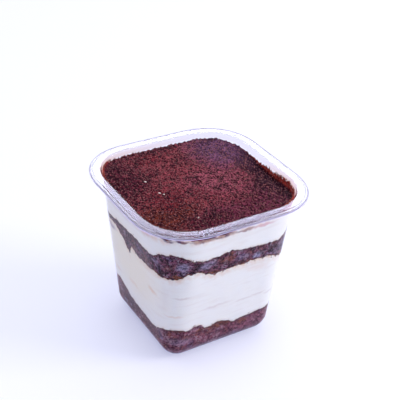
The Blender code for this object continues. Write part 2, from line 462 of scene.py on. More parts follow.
def ring_object(name, rings, poles):
    """A closed surface over rings of points, lowest pole first."""
    last = (len(rings) - 1) * COLUMNS
    bottom, top = last + COLUMNS, last + COLUMNS + 1
    faces = ring_faces(0, len(rings)) + fan_faces(bottom, 0)
    faces += [(a, b, middle) for middle, b, a in fan_faces(top, last)]
    made = mesh_object(name, np.concatenate([*rings, poles]).tolist(), faces)
    made.data.shade_smooth()
    return made


def stacked_layer(name, low, high, side_rows, ease, dents):
    """A closed layer between two edge lines, whose side reaches into the wall less its dents."""
    climb = np.linspace(0, 1, side_rows)[:, None] ** ease
    z = low + (high - low) * climb
    dent = dents(wall_points(z, REACH))
    dent[0] = dent[-1] = 0
    side = wall_points(z, REACH + dent)
    rings = list(side)
    for rim, step in ((side[0], HIDDEN_STEP), (side[-1], -HIDDEN_STEP)):
        level = rim[:, 2].mean()
        for share in INNER_RINGS:
            ring = rim * (share, share, 1)
            ring[:, 2] = level + (rim[:, 2] - level) * share ** 4 + step
            rings.insert(0 if step > 0 else len(rings), ring)
    poles = [(0, 0, rings[0][:, 2].mean()), (0, 0, rings[-1][:, 2].mean())]
    made = ring_object(name, rings, poles)
    top_gap, bottom_gap = np.tile(high, len(rings)), np.tile(low, len(rings))
    heights = np.concatenate(rings)[:, 2]
    add_values(made, "under_top", (top_gap - heights) / MM)
    add_values(made, "over_bottom", (heights - bottom_gap) / MM)
    return made


def sponge_pores(points):
    """Pores in the sponge's side, up to a quarter of a millimetre deep."""
    crumb = rough_noise(points, 1.6 * MM, 3)
    return np.clip(crumb * 0.35 + 0.05, 0, 0.25) * MM


def smudge_group():
    """A soft spot: how far inside an egg-shaped reach round its centre a point lies, from 0 to 1."""
    tree, given, result = new_tree(
        "soft_spot", "ShaderNodeTree",
        [("Place", "Vector"), ("Centre", "Vector"), ("Reach", "Vector"), ("Core", "Float")],
        [("Mask", "Float")])
    off = add_node(tree, "ShaderNodeVectorMath",
                   {0: given.outputs["Place"], 1: given.outputs["Centre"]}, operation="SUBTRACT")
    share = add_node(tree, "ShaderNodeVectorMath",
                     {0: off.outputs[0], 1: given.outputs["Reach"]}, operation="DIVIDE")
    far = add_node(tree, "ShaderNodeVectorMath", {0: share.outputs[0]}, operation="LENGTH")
    mask = add_node(tree, "ShaderNodeMapRange",
                    {0: far.outputs["Value"], 1: given.outputs["Core"], 2: 1.0, 3: 1.0, 4: 0.0},
                    interpolation_type="SMOOTHSTEP")
    tree.links.new(mask.outputs[0], result.inputs[0])
    return tree


soft_spot = smudge_group()


def spotted(tree, color, place, spots, core=0.3):
    """Lays soft spots over a colour, each with its centre and reach in mm, its colour and strength."""
    for centre, reach, tint, strength in spots:
        spot = add_node(tree, "ShaderNodeGroup", node_tree=soft_spot)
        for socket, value in (("Centre", centre), ("Reach", reach), ("Core", core)):
            spot.inputs[socket].default_value = value
        tree.links.new(place, spot.inputs["Place"])
        color = mixed(tree, product(tree, spot.outputs[0], strength), color, (*tint, 1))
    return color


def strayed(tree, place, size, reach):
    """The place pushed about by noise, so that what is laid on it gets a ragged outline."""
    wander = add_node(tree, "ShaderNodeTexNoise", {"Vector": place, "Scale": 1 / size, "Detail": 3})
    centred = add_node(tree, "ShaderNodeVectorMath", {0: wander.outputs["Color"], 1: (0.5,) * 3},
                       operation="SUBTRACT")
    push = add_node(tree, "ShaderNodeVectorMath", {0: centred.outputs[0], "Scale": reach},
                    operation="SCALE")
    return add_node(tree, "ShaderNodeVectorMath", {0: place, 1: push.outputs[0]}).outputs[0]


WET = (0.17, 0.13, 0.27)
FOOT_TABLE_REFLECTION = (0.14, 0.095, 0.24)
DRY = (0.24, 0.072, 0.045)
PALE_WET = (0.34, 0.31, 0.5)
SMEAR = (0.32, 0.2, 0.31)
RED_CRUMB = (0.22, 0.055, 0.055)
DARK_CRUMB = (0.035, 0.01, 0.018)
BROWN_CRUMB = (0.13, 0.04, 0.02)
CRUST = (0.075, 0.024, 0.022)


def soaked_sponge(name, dark, light, web, spots):
    """Coffee-soaked sponge: a crumb of dark and light tones that run wetter and drier in patches,
    pores painted dark as shade, a pale web of cell walls in places, and single spots of colour."""
    made, tree, shader = new_finish(name, Roughness=0.6, Specular_IOR_Level=0.08)
    place = millimetres(tree)
    ragged = strayed(tree, place, 2.2, 3.0)
    soaked = speckle(tree, place, 0.17, 3)
    lights = mixed(tree, ranged(tree, soaked, 0.44, 0.36, 0, 0.7), (*light, 1), (*WET, 1))
    lights = mixed(tree, ranged(tree, soaked, 0.58, 0.66, 0, 0.7), lights, (*DRY, 1))
    lights = spotted(tree, lights, ragged, spots)
    darks = spotted(tree, (*dark, 1), ragged, [
        (centre, reach, [part * 0.35 for part in tint], strength)
        for centre, reach, tint, strength in spots])
    crumb = speckle(tree, place, 0.8, 6, 0.75)
    color = mixed(tree, ranged(tree, crumb, 0.43, 0.58), darks, lights)
    lumps = speckle(tree, place, 0.4)
    color = mixed(tree, ranged(tree, lumps, 0.52, 0.4, 0, 0.6), color, (*dark, 1))
    for attribute, depth, tint in (("under_top", 1.3, CRUST), ("over_bottom", 1.2, BROWN_CRUMB)):
        near = ranged(tree, stored(tree, attribute), depth, 0.2)
        color = mixed(tree, product(tree, near, ranged(tree, lumps, 0.4, 0.5)), color, (*tint, 1))
    # Painted shade: the pores are darkened for the shade inside them.
    pore_shade = add_node(tree, "ShaderNodeTexVoronoi", {"Vector": place, "Scale": 0.9}).outputs["Distance"]
    color = mixed(tree, ranged(tree, pore_shade, 0.3, 0.1, 0, 0.6), color, (*[part * 0.4 for part in dark], 1))
    cells = add_node(tree, "ShaderNodeTexVoronoi",
                     {"Vector": strayed(tree, place, 0.8, 0.8), "Scale": 0.62},
                     feature="DISTANCE_TO_EDGE").outputs["Distance"]
    patches = ranged(tree, speckle(tree, place, 0.3), 0.5, 0.66, 0, 0.8)
    seen = product(tree, ranged(tree, cells, 0.12, 0.02), patches)
    color = mixed(tree, seen, color, (*web, 1))
    tree.links.new(color, shader.inputs["Base Color"])
    raise_bumps(tree, shader, crumb, 0.6, 0.4 * MM)
    return made


bottom_sponge_finish = soaked_sponge(
    "bottom_sponge", (0.055, 0.014, 0.032), (0.24, 0.076, 0.12), (0.42, 0.24, 0.32), [
        # The first two spots paint the bluish table seen in the cup's rounded foot: painted reflection,
        # paler at the very bottom.
        ((0, 0, 0), (80, 80, 9.5), FOOT_TABLE_REFLECTION, 0.9), ((0, 0, 0), (80, 80, 4.6), PALE_WET, 0.7),
        ((-10, -31, 14), (16, 8, 3.5), RED_CRUMB, 0.4), ((-30, 4, 12), (4, 30, 9), DARK_CRUMB, 0.55),
        ((-23, -27, 12), (9, 8, 3.5), PALE_WET, 0.35),
        ((-1.6, -29, 15.5), (8, 4, 2.6), DRY, 1.0), ((10.3, -28.5, 13), (5, 4, 2.0), DRY, 0.9),
        ((-13, -29, 16.4), (4, 4, 1.8), DRY, 0.9), ((-24.3, -28, 18.9), (4, 5, 1.4), DRY, 0.8),
        ((-30, 20, 17.5), (4, 9, 6), SMEAR, 0.15), ((-29, -4, 12), (4, 7, 4), RED_CRUMB, 0.5),
        ((20, -27, 10), (16, 8, 6), (0.27, 0.1, 0.17), 0.6),
        ((-28, 14, 9.5), (3, 3, 1.5), PALE_WET, 0.8), ((-28, 8.5, 10), (3, 2.5, 1.2), PALE_WET, 0.6),
    ])
middle_sponge_finish = soaked_sponge(
    "middle_sponge", (0.018, 0.004, 0.012), (0.2, 0.066, 0.12), (0.34, 0.25, 0.34), [
        ((-25.3, -32.4, 57.3), (4.6, 4, 3.2), PALE_WET, 0.8), ((-15, -34, 55.8), (7, 3, 2.8), PALE_WET, 0.6),
        ((12, -33.5, 52.8), (3.5, 3, 2.4), PALE_WET, 1.0), ((18.6, -33.2, 50.6), (5, 3, 1.4), SMEAR, 0.7),
        ((26.7, -31, 53), (4, 4, 5), WET, 0.7), ((-33.3, -22.6, 57.3), (3, 3.5, 2), PALE_WET, 0.5),
        ((-33.6, -9, 55.5), (3, 5, 2.4), WET, 0.5), ((-27.2, -30.6, 51.6), (4, 4, 1.6), DRY, 1.0),
        ((-10.6, -33.1, 50.4), (4.5, 3, 1.5), DRY, 1.0), ((-2.3, -34.3, 58.6), (3, 3, 1.3), DRY, 0.8),
        ((2.6, -33.3, 51.5), (4, 3, 1.0), DRY, 0.5), ((-33.6, 17, 52.6), (3, 6, 2.0), SMEAR, 0.75),
        ((-33.8, 18, 56.0), (3, 7, 1.5), DARK_CRUMB, 0.85), ((-33.8, 8, 54.4), (3, 4, 1.0), DARK_CRUMB, 0.7),
        ((-33.7, 0, 54.2), (3, 4, 1.1), DARK_CRUMB, 0.7), ((-33.9, 6, 56.3), (3, 4, 1.0), SMEAR, 0.6),
        ((-19.5, -33.5, 56.8), (2, 3, 3.4), DARK_CRUMB, 0.8), ((-33, -15, 53), (3, 5, 2), RED_CRUMB, 0.6),
        ((20.5, -32.7, 54.5), (5, 3, 3), DARK_CRUMB, 0.6), ((4, -33.8, 54.8), (5, 3, 2.6), WET, 0.6),
        ((-5, -34, 55), (5, 3, 3), RED_CRUMB, 0.4),
    ])
cup_foot = np.full(COLUMNS, REACH)
sponge_1_top = edge_line(SPONGE_1_TOP, 0.45 * MM)
cream_1_top = edge_line(CREAM_1_TOP, 0.5 * MM)
sponge_2_top = edge_line(SPONGE_2_TOP, 0.45 * MM)
bottom_sponge = stacked_layer(
    "soaked_sponge_base", cup_foot, sponge_1_top, side_rows=56, ease=2, dents=sponge_pores)
middle_sponge = stacked_layer(
    "soaked_sponge_middle", cream_1_top, sponge_2_top, side_rows=34, ease=1, dents=sponge_pores)
for piece, node, finish in ((bottom_sponge, "bottom_sponge", bottom_sponge_finish),
                            (middle_sponge, "middle_sponge", middle_sponge_finish)):
    piece.data.materials.append(finish)
    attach(piece, "root")
    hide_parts(node)

# The cream layers: whipped mascarpone cream spooned onto each sponge and pressed flat to the
# wall, with faint smears from the spoon and a coffee stain next to the sponge. Under the rim it
# carries painted shade and a painted dark reflection of the cocoa, and over its left side painted warm
# light.
CREAM_2_TOP = (
    (-156, 69.8), (-152, 71.4), (-140, 71.5), (-135, 71.4), (-132, 73.4), (-130, 72.0), (-127, 73.6),
    (-124, 71.6), (-116, 70.9), (-100, 71.0), (-85, 71.5), (-72, 72.2), (-60, 73.0), (-30, 72.8),
    (0, 71.5), (45, 72.0), (90, 72.3), (140, 72.0), (170, 71.5),
)


def cream_swell(points):
    """Slow hollows in the cream's side."""
    return np.clip(rough_noise(points * (1, 1, 2.5), 9 * MM, 2) * 0.12 + 0.05, 0, 0.2) * MM


TAN = (0.66, 0.44, 0.33)
GREY_BROWN = (0.5, 0.41, 0.42)
PINK_RIM_SHADE = (0.62, 0.42, 0.47)
WARM_STAIN_AND_LIGHT = (0.79, 0.74, 0.62)
UNDER_FLANGE_SHADE = (0.56, 0.49, 0.45)
NAVY_LIP_SHADE = (0.06, 0.045, 0.13)
PURPLE_LIP_SHADE = (0.09, 0.03, 0.08)
LILAC = (0.4, 0.34, 0.42)
# Spots on the cream. Most are coffee stains; those just under the flange and lip are painted shade and a
# painted dark reflection of the cocoa in the lip, and the wide warm spot over the left face is partly a tan
# stain and partly painted warm light against the bluish light from the table.
cream_spots = [
    ((8, -31, 27.3), (7, 3, 0.8), GREY_BROWN, 0.28), ((17, -31, 27.7), (6, 3, 0.8), GREY_BROWN, 0.35),
    ((24, -30, 26.3), (5, 4, 1.0), GREY_BROWN, 0.35), ((-6, -31, 29), (10, 3, 0.8), GREY_BROWN, 0.25),
    ((-24, -30, 39), (5, 5, 0.8), GREY_BROWN, 0.35), ((-26, -27, 28), (6, 6, 0.9), TAN, 0.35),
    ((-31.6, -17, 37.6), (3, 5, 1.8), TAN, 0.9), ((-31, 2, 28.2), (3, 6, 1.8), TAN, 0.7),
    ((-31, 18.5, 27), (3, 4, 2), TAN, 0.35), ((14, -34, 45), (11, 3, 4), TAN, 0.25),
    ((-33, 2, 40), (8, 34, 32), WARM_STAIN_AND_LIGHT, 0.8), ((-36, 8, 70), (7, 36, 6.5), UNDER_FLANGE_SHADE, 0.8),
    ((-32, -27, 35), (4, 5, 14), GREY_BROWN, 0.2), ((-35, -16, 70), (4, 7, 2.5), PINK_RIM_SHADE, 0.5),
    ((-29.3, 20, 19.5), (3, 7, 2.6), LILAC, 0.9), ((-33.5, 20, 51.4), (3, 7, 2.6), LILAC, 0.9),
    # Painted shade and painted dark reflection along the top of the near faces, under the lip.
    ((-31.4, -29.5, 71.0), (3.6, 3, 1.4), NAVY_LIP_SHADE, 1.0), ((-27, -33, 71.3), (4, 4, 1.3), PURPLE_LIP_SHADE, 1.0),
    ((-18, -35, 70.7), (8, 3, 1.7), PURPLE_LIP_SHADE, 1.0), ((-8, -36, 70.3), (9, 3, 1.6), PURPLE_LIP_SHADE, 1.0),
    ((3, -36, 70.0), (7, 3, 1.1), PURPLE_LIP_SHADE, 0.8), ((12, -36, 69.8), (8, 3, 1.1), PINK_RIM_SHADE, 0.9),
]


def whipped_cream():
    """Cool white cream, a little see-through, stained where it lies on coffee-soaked sponge,
    warmer over its left side, partly stain and partly painted light, and with painted shade under the rim.
    """
    made, tree, shader = new_finish(
        "whipped_cream", Roughness=0.6, Specular_IOR_Level=0.1, Subsurface_Weight=0.4,
        Subsurface_Scale=1.0 * MM, Subsurface_Radius=(1.0, 0.8, 0.6))
    place = millimetres(tree)
    lain = add_node(tree, "ShaderNodeMapping", {"Vector": place, "Scale": (0.12, 0.12, 0.9)}).outputs[0]
    smears = speckle(tree, lain, 0.6, 3)
    color = mixed(tree, ranged(tree, smears, 0.52, 0.72, 0, 0.45), (0.77, 0.775, 0.765, 1),
                  (0.70, 0.665, 0.65, 1))
    ragged = strayed(tree, place, 2.5, 2.5)
    color = spotted(tree, color, ragged, cream_spots)
    soak = ranged(tree, speckle(tree, place, 0.45, 5), 0.35, 0.65)
    for attribute, depth, strength in (("under_top", 3.8, 0.8), ("over_bottom", 1.6, 0.5)):
        near = ranged(tree, stored(tree, attribute), depth, 0)
        stain = product(tree, product(tree, near, soak), strength)
        color = mixed(tree, stain, color, (*TAN, 1))
    tree.links.new(color, shader.inputs["Base Color"])
    raise_bumps(tree, shader, smears, 0.08, 0.5 * MM)
    return made


cream_finish = whipped_cream()
cream_2_top = edge_line(CREAM_2_TOP, 0.35 * MM)
lower_cream = stacked_layer(
    "cream_lower", sponge_1_top, cream_1_top, side_rows=48, ease=1, dents=cream_swell)
upper_cream = stacked_layer(
    "cream_upper", sponge_2_top, cream_2_top, side_rows=26, ease=1, dents=cream_swell)
for piece, node in ((lower_cream, "lower_cream"), (upper_cream, "upper_cream")):
    piece.data.materials.append(cream_finish)
    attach(piece, "root")
    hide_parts(node)

# The cocoa topping: cocoa powder sieved over the cream until it stands just under the mouth,
# a little higher in the middle, with a grain like coarse sand. Along the wall on the right it
# sinks into a hollow, painted dark as the hollow's shade.
COCOA_TOP = 75.2, ((-10, 30, -0.5), (-45, 12, 0.5), (137, 10, 0.5))
COCOA_HOLLOW = (-15, 32, -2.3)
HOLLOW_START = 0.72
HOLLOW_END = 0.93
HEADROOM = 0.8 * MM
COCOA_CROWN = 1.1 * MM
POWDER_BANK = (
    (-66, 0.0), (-58, 0.9), (-50, 2.4), (-40, 3.4), (-30, 3.5), (-20, 3.2), (-5, 2.5), (10, 1.4),
    (24, 0.3), (40, 0.0), (120, 0.0), (128, 0.6), (136, 1.6), (144, 2.0), (153, 1.4), (163, 0.2),
    (170, 0.0),
)
BANK_START = 0.968
SIDE = COLUMNS // 4
FIRST_CORNER = CORNER_STEPS // 2


def smooth_step(value, start, end):
    """Share of the way from start to end, eased in and out."""
    share = np.clip((value - start) / (end - start), 0, 1)
    return share ** 2 * (3 - 2 * share)


def bank_height(points, share):
    """How far the powder climbs the wall over these places."""
    bank_turn, bank_rise = np.array(POWDER_BANK).T
    climb = np.interp(direction(points), bank_turn, bank_rise, period=360) * MM
    torn = np.clip(0.95 + 0.5 * rough_noise(points, 1.5 * MM, 3), 0.4, 1.15)
    return climb * torn * smooth_step(share, BANK_START, 1)


def cocoa_height(points, share):
    """Height of the powder over these places, where share is 0 in the middle and 1 at the wall."""
    level, swells = COCOA_TOP
    turn = direction(points)
    height = level * MM + COCOA_CROWN * (1 - share ** 2) + bank_height(points, share)
    for middle, width, rise in swells:
        away = (turn - middle + 180) % 360 - 180
        height = height + rise * MM * np.exp(-(away / width) ** 2) * share ** 3
    middle, width, drop = COCOA_HOLLOW
    away = (turn - middle + 180) % 360 - 180
    sinking = smooth_step(share, HOLLOW_START, HOLLOW_END)
    height = height + drop * MM * np.exp(-(away / width) ** 2) * sinking
    height = height + 0.3 * MM * rough_noise(points, 9 * MM, 2)
    grain = rough_noise(points, 1.2 * MM, 3)
    lumps = rough_noise(points + 0.1, 3.0 * MM, 2)
    height = height + (0.6 * grain + 0.25 * lumps) * MM
    return np.minimum(height, CUP_HEIGHT - HEADROOM)


def cocoa_layer(name, low, high):
    """The powder as a square net of points over its top, joined to rings down its side."""
    i, j = np.meshgrid(np.arange(SIDE + 1), np.arange(SIDE + 1), indexing="ij")
    u, v = 2 * i - SIDE, 2 * j - SIDE
    reach = np.maximum(np.maximum(abs(u), abs(v)), 1)
    share = np.maximum(abs(u), abs(v)) / SIDE
    along = np.select([v == reach, u == -reach, v == -reach],
                      [(1 - u / reach) / 2, 1 + (1 - v / reach) / 2, 2 + (1 + u / reach) / 2],
                      3 + (1 + v / reach) / 2)
    column = (along * SIDE + FIRST_CORNER) % COLUMNS
    before = np.floor(column).astype(int) % COLUMNS
    part = (column - np.floor(column))[..., None]
    rim = wall_points(high, REACH)
    top = (rim[before] * (1 - part) + rim[(before + 1) % COLUMNS] * part) * share[..., None]
    top[..., 2] = 0
    top[..., 2] = cocoa_height(top, share)
    rings = list(wall_points(low + (high - low) * np.linspace(0, 1, 8)[:, None], REACH))
    for part_in in INNER_RINGS:
        ring = rings[0] * (part_in, part_in, 1)
        ring[:, 2] = low + HIDDEN_STEP
        rings.insert(0, ring)
    side_points = np.concatenate(rings)
    rim_start = (len(rings) - 1) * COLUMNS
    number = np.zeros((SIDE + 1, SIDE + 1), int)
    edge = share == 1
    number[edge] = rim_start + np.round(column[edge]).astype(int) % COLUMNS
    number[~edge] = len(side_points) + np.arange((~edge).sum())
    points = np.concatenate([side_points, top[~edge], [(0, 0, low.mean())]])
    faces = np.stack([number[:-1, :-1], number[1:, :-1], number[1:, 1:], number[:-1, 1:]], -1)
    faces = faces.reshape(-1, 4).tolist() + ring_faces(0, len(rings)) + fan_faces(len(points) - 1, 0)
    made = mesh_object(name, points.tolist(), faces)
    made.data.shade_smooth()
    shares = np.concatenate([np.ones(len(side_points)), share[~edge], [1]])
    on_top = np.concatenate([np.zeros(len(side_points)), np.ones((~edge).sum()), [0]])
    flat = points * (1, 1, 0)
    add_values(made, "climbed", bank_height(flat, shares) / MM)
    add_values(made, "cover", on_top)
    return made


# Colours of the powder. The darkest ones are painted shade: in the gaps between grains, along the edges and
# in the hollow by the wall. The purple ones towards the far corner are a painted sheen.
COCOA_GAP_SHADE = (0.024, 0.002, 0.008)
COCOA_RED = (0.32, 0.058, 0.078)
COCOA_ROSE = (0.385, 0.087, 0.135)
COCOA_BROWN = (0.15, 0.026, 0.014)
COCOA_SHADY = (0.16, 0.02, 0.042)
HOLLOW_SHADE = (0.035, 0.008, 0.024)
COCOA_SHEEN = (0.2, 0.078, 0.17)
SHEEN_GAP = (0.055, 0.02, 0.05)
CLINGING_COCOA = (0.4, 0.045, 0.035)
COCOA_DEEP = (0.2, 0.022, 0.034)
COCOA_EDGE_SHADE = (0.14, 0.026, 0.062)
SHADE_GRAIN_LOSS = 0.05
# Spots of powder colour: the rose, brown and deep spots are the powder's own tone, the dark spots along the
# edges and by the right wall are painted shade, and the purple spot towards the far corner is a painted
# sheen.
powder_spots = [
    ((8, -4, 76), (22, 18, 30), COCOA_ROSE, 1.0), ((-26, -22, 76), (24, 20, 30), COCOA_BROWN, 0.95),
    ((-32, 18, 76), (19, 28, 30), COCOA_SHADY, 1.0), ((2, -32, 76), (36, 17, 30), COCOA_EDGE_SHADE, 0.8),
    ((28, -22, 76), (20, 20, 30), COCOA_EDGE_SHADE, 0.9), ((26, 22, 76), (24, 26, 30), COCOA_SHEEN, 1.0),
    ((-6, 36, 76), (24, 8, 30), COCOA_SHADY, 0.8), ((34, 0, 76), (7, 30, 30), HOLLOW_SHADE, 1.0),
    ((32, -18, 76), (10, 16, 30), HOLLOW_SHADE, 1.0), ((30, 33, 76), (13, 5, 30), HOLLOW_SHADE, 0.8),
    ((31, -6, 76), (6, 22, 30), HOLLOW_SHADE, 1.0), ((-12, -29, 76), (15, 6, 30), COCOA_SHADY, 0.9),
    ((28, 3, 76), (7, 14, 30), HOLLOW_SHADE, 0.7), ((28, -15, 76), (9, 12, 30), HOLLOW_SHADE, 0.8),
    ((-27, -17, 76), (8, 8, 30), COCOA_BROWN, 0.8), ((-20, -8, 76), (13, 13, 30), COCOA_DEEP, 0.9),
    ((-10, 28, 76), (10, 8, 30), COCOA_DEEP, 0.9), ((-4, -11, 76), (10, 8, 30), COCOA_DEEP, 0.5),
]
# Fewer grains are lit where the painted shade lies.
shade_spots = [
    (centre, reach, (1, 1, 1), strength)
    for centre, reach, tint, strength in powder_spots if tint in (COCOA_SHADY, HOLLOW_SHADE)]


def sieved_cocoa():
    """Matt powder, redder in the middle and browner at the near corner, with painted shade in the
    gaps between its grains, along its edges and in the hollow by the wall, and a painted sheen at the back."""
    made, tree, shader = new_finish(
        "sieved_cocoa", Roughness=0.9, Specular_IOR_Level=0.05, Sheen_Weight=0.02,
        Sheen_Roughness=0.4, Sheen_Tint=(0.7, 0.6, 1, 1))
    place = millimetres(tree)
    wandering = strayed(tree, place, 6, 8)
    powder = spotted(tree, (*COCOA_RED, 1), wandering, powder_spots)
    grain_shade = spotted(tree, (0, 0, 0, 1), wandering, shade_spots)
    fine = speckle(tree, place, 1.3, 2, 0.6)
    both = add_node(tree, "ShaderNodeMix", {0: 0.3, 2: fine, 3: speckle(tree, place, 0.4)}).outputs[0]
    grain = add_node(tree, "ShaderNodeMath", {0: both, 1: product(tree, grain_shade, SHADE_GRAIN_LOSS)},
                     operation="SUBTRACT").outputs[0]
    # Painted shade in the gaps between grains, turned purple towards the far corner as a painted sheen.
    gap_shade = spotted(tree, (*COCOA_GAP_SHADE, 1), wandering, [((24, 20, 76), (22, 24, 30), SHEEN_GAP, 0.9)])
    color = mixed(tree, ranged(tree, grain, 0.455, 0.57), gap_shade, powder)
    clinging = mixed(tree, ranged(tree, both, 0.4, 0.55), (*COCOA_GAP_SHADE, 1), (*CLINGING_COCOA, 1))
    color = mixed(tree, ranged(tree, stored(tree, "climbed"), 0.3, 1.4), color, clinging)
    tree.links.new(color, shader.inputs["Base Color"])
    raise_bumps(tree, shader, grain, 0.8, 0.5 * MM)
    return made


cocoa_finish = sieved_cocoa()
powder_rim = wall_points(np.full(COLUMNS, COCOA_TOP[0] * MM), REACH) * (1, 1, 0)
powder_edge = cocoa_height(powder_rim, np.ones(COLUMNS))
cocoa_topping = cocoa_layer("sieved_cocoa", cream_2_top, powder_edge)
cocoa_topping.data.materials.append(cocoa_finish)
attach(cocoa_topping, "root")
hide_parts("cocoa_topping")

# Loose cocoa grains: small clumps of powder that fell last, when the sieve was tapped, and lie
# half sunk in the topping. Each has a size, a turn and a shade of its own.


def scatter_tree():
    """Lays small lumps over a surface, as thick as its cover says, each with a shade of its own."""
    tree, given, result = new_tree(
        "scattered_grains", "GeometryNodeTree",
        [("Surface", "Geometry"), ("Grains for Each Square Metre", "Float"), ("Smallest", "Float"),
         ("Largest", "Float"), ("Sunk", "Float"), ("Seed", "Int"), ("Finish", "Material")],
        [("Grains", "Geometry")])
    cover = add_node(tree, "GeometryNodeInputNamedAttribute", {"Name": "cover"}, data_type="FLOAT")
    thick = product(tree, given.outputs["Grains for Each Square Metre"], cover.outputs["Attribute"])
    spread = add_node(tree, "GeometryNodeDistributePointsOnFaces",
                      {"Mesh": given.outputs["Surface"], "Density": thick,
                       "Seed": given.outputs["Seed"]})
    down = product(tree, given.outputs["Sunk"], -1)
    sink = add_node(tree, "ShaderNodeVectorMath", {0: spread.outputs["Normal"], "Scale": down},
                    operation="SCALE")
    sunk = add_node(tree, "GeometryNodeSetPosition",
                    {"Geometry": spread.outputs["Points"], "Offset": sink.outputs[0]})
    lump = add_node(tree, "GeometryNodeMeshIcoSphere", {"Radius": 1.0, "Subdivisions": 1})
    turn = add_node(tree, "FunctionNodeRandomValue", {"Max": (tau,) * 3, "Seed": 1},
                    data_type="FLOAT_VECTOR")
    size = add_node(tree, "FunctionNodeRandomValue", {"Seed": 2}, data_type="FLOAT_VECTOR")
    for socket in ("Smallest", "Largest"):
        end = add_node(tree, "ShaderNodeCombineXYZ",
                       {axis: given.outputs[socket] for axis in ("X", "Y", "Z")})
        tree.links.new(end.outputs[0], size.inputs["Min" if socket == "Smallest" else "Max"])
    laid = add_node(tree, "GeometryNodeInstanceOnPoints",
                    {"Points": sunk.outputs[0], "Instance": lump.outputs["Mesh"],
                     "Rotation": turn.outputs[0], "Scale": size.outputs[0]})
    shade = add_node(tree, "FunctionNodeRandomValue", data_type="FLOAT")
    kept = add_node(tree, "GeometryNodeStoreNamedAttribute",
                    {"Geometry": laid.outputs[0], "Name": "shade"}, data_type="FLOAT", domain="INSTANCE")
    tree.links.new(shade.outputs[1], kept.inputs["Value"])
    real = add_node(tree, "GeometryNodeRealizeInstances", {"Geometry": kept.outputs[0]})
    finished = add_node(tree, "GeometryNodeSetMaterial",
                        {"Geometry": real.outputs[0], "Material": given.outputs["Finish"]})
    tree.links.new(finished.outputs[0], result.inputs[0])
    return tree


def grain_finish(name, dark, light, roughness):
    """Loose grains, each somewhere between two colours."""
    made, tree, shader = new_finish(name, Roughness=roughness)
    both = product(tree, stored(tree, "shade"), speckle(tree, millimetres(tree), 3))
    color = mixed(tree, ranged(tree, both, 0.05, 0.5), (*dark, 1), (*light, 1))
    tree.links.new(color, shader.inputs["Base Color"])
    return made


grain_tree = scatter_tree()
loose_cocoa = run_tree("loose_cocoa_grains", cocoa_topping, grain_tree, {
    "Grains for Each Square Metre": 1.0e6, "Smallest": 0.12 * MM, "Largest": 0.34 * MM,
    "Sunk": 0.03 * MM, "Seed": 4,
    "Finish": grain_finish("cocoa_grain", (0.02, 0.004, 0.006), (0.43, 0.115, 0.125), 0.8)})
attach(loose_cocoa, "root")

# Cocoa dust on the wall: powder that clung to the inside of the plastic above the topping while
# it settled, thickest in the right and left corners and torn off in crumbs along its top.
DUST_RISE = (
    (-66, 0.3), (-58, 1.0), (-50, 2.2), (-44, 2.6), (-36, 2.0), (-24, 1.2), (4, 0.6), (14, 0.4),
    (30, 0.2), (80, 0.2), (100, 0.4), (126, 0.8), (133, 1.8), (141, 2.4), (150, 2.0), (158, 0.6),
    (200, 0.3),
)


def wall_bands(name, bands, inset):
    """Bands of faces round the wall, each between two heights, with how thickly it is covered."""
    points, faces, covers = [], [], []
    for low, high, cover in bands:
        rows = len(cover)
        faces += ring_faces(sum(len(row) for row in points), rows)
        z = low + (high - low) * np.linspace(0, 1, rows)[:, None]
        places = wall_points(z, inset)
        clumps = np.clip(0.6 + 1.3 * rough_noise(places, 2.2 * MM, 2), 0, 1.4)
        covers.append((clumps * np.array(cover)[:, None]).ravel())
        points.append(places.reshape(-1, 3))
    made = mesh_object(name, np.concatenate(points).tolist(), faces)
    add_values(made, "cover", np.concatenate(covers))
    return made


dust_turn, dust_rise = np.array(DUST_RISE).T
dust_top = powder_edge + np.interp(direction(powder_rim), dust_turn, dust_rise, period=360) * MM
dust_top = np.minimum(dust_top, CUP_HEIGHT - MOUTH_ROUND / 2)
dust_foot = np.minimum(powder_edge, dust_top) - 0.2 * MM
dusty_wall = wall_bands("dusty_wall", [(dust_foot, dust_top, (1.6, 1.5, 1.3, 0.9, 0.5, 0.1))], WALL)
wall_dust = run_tree("cocoa_dust_on_wall", dusty_wall, grain_tree, {
    "Grains for Each Square Metre": 1.1e7, "Smallest": 0.08 * MM, "Largest": 0.22 * MM,
    "Sunk": 0.0, "Seed": 7,
    "Finish": grain_finish("clinging_cocoa", (0.05, 0.008, 0.006), (0.42, 0.075, 0.035), 0.8)})
bpy.data.objects.remove(dusty_wall)
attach(wall_dust, "root")

# Sponge crumbs: crumbs that broke off the sponge's edges as it was pressed down, and were caught
# between the cream's side and the wall.
crumb_bands = [
    (sponge_1_top - 0.4 * MM, sponge_1_top + 1.2 * MM, (0.2, 1.0, 0.5, 0.15, 0)),
    (cream_1_top + 0.4 * MM, cream_1_top - 1.4 * MM, (0.3, 0.6, 0.2, 0.1, 0)),
    (sponge_2_top - 0.4 * MM, sponge_2_top + 0.9 * MM, (0.2, 1.0, 0.4, 0.1, 0)),
]
crumbed_wall = wall_bands("crumbed_wall", crumb_bands, REACH + 0.06 * MM)
sponge_crumbs = run_tree("sponge_crumbs", crumbed_wall, grain_tree, {
    "Grains for Each Square Metre": 1.2e6, "Smallest": 0.16 * MM, "Largest": 0.42 * MM,
    "Sunk": 0.1 * MM, "Seed": 11,
    "Finish": grain_finish("sponge_crumb", (0.08, 0.03, 0.03), (0.36, 0.17, 0.1), 0.6)})
bpy.data.objects.remove(crumbed_wall)
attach(sponge_crumbs, "root")

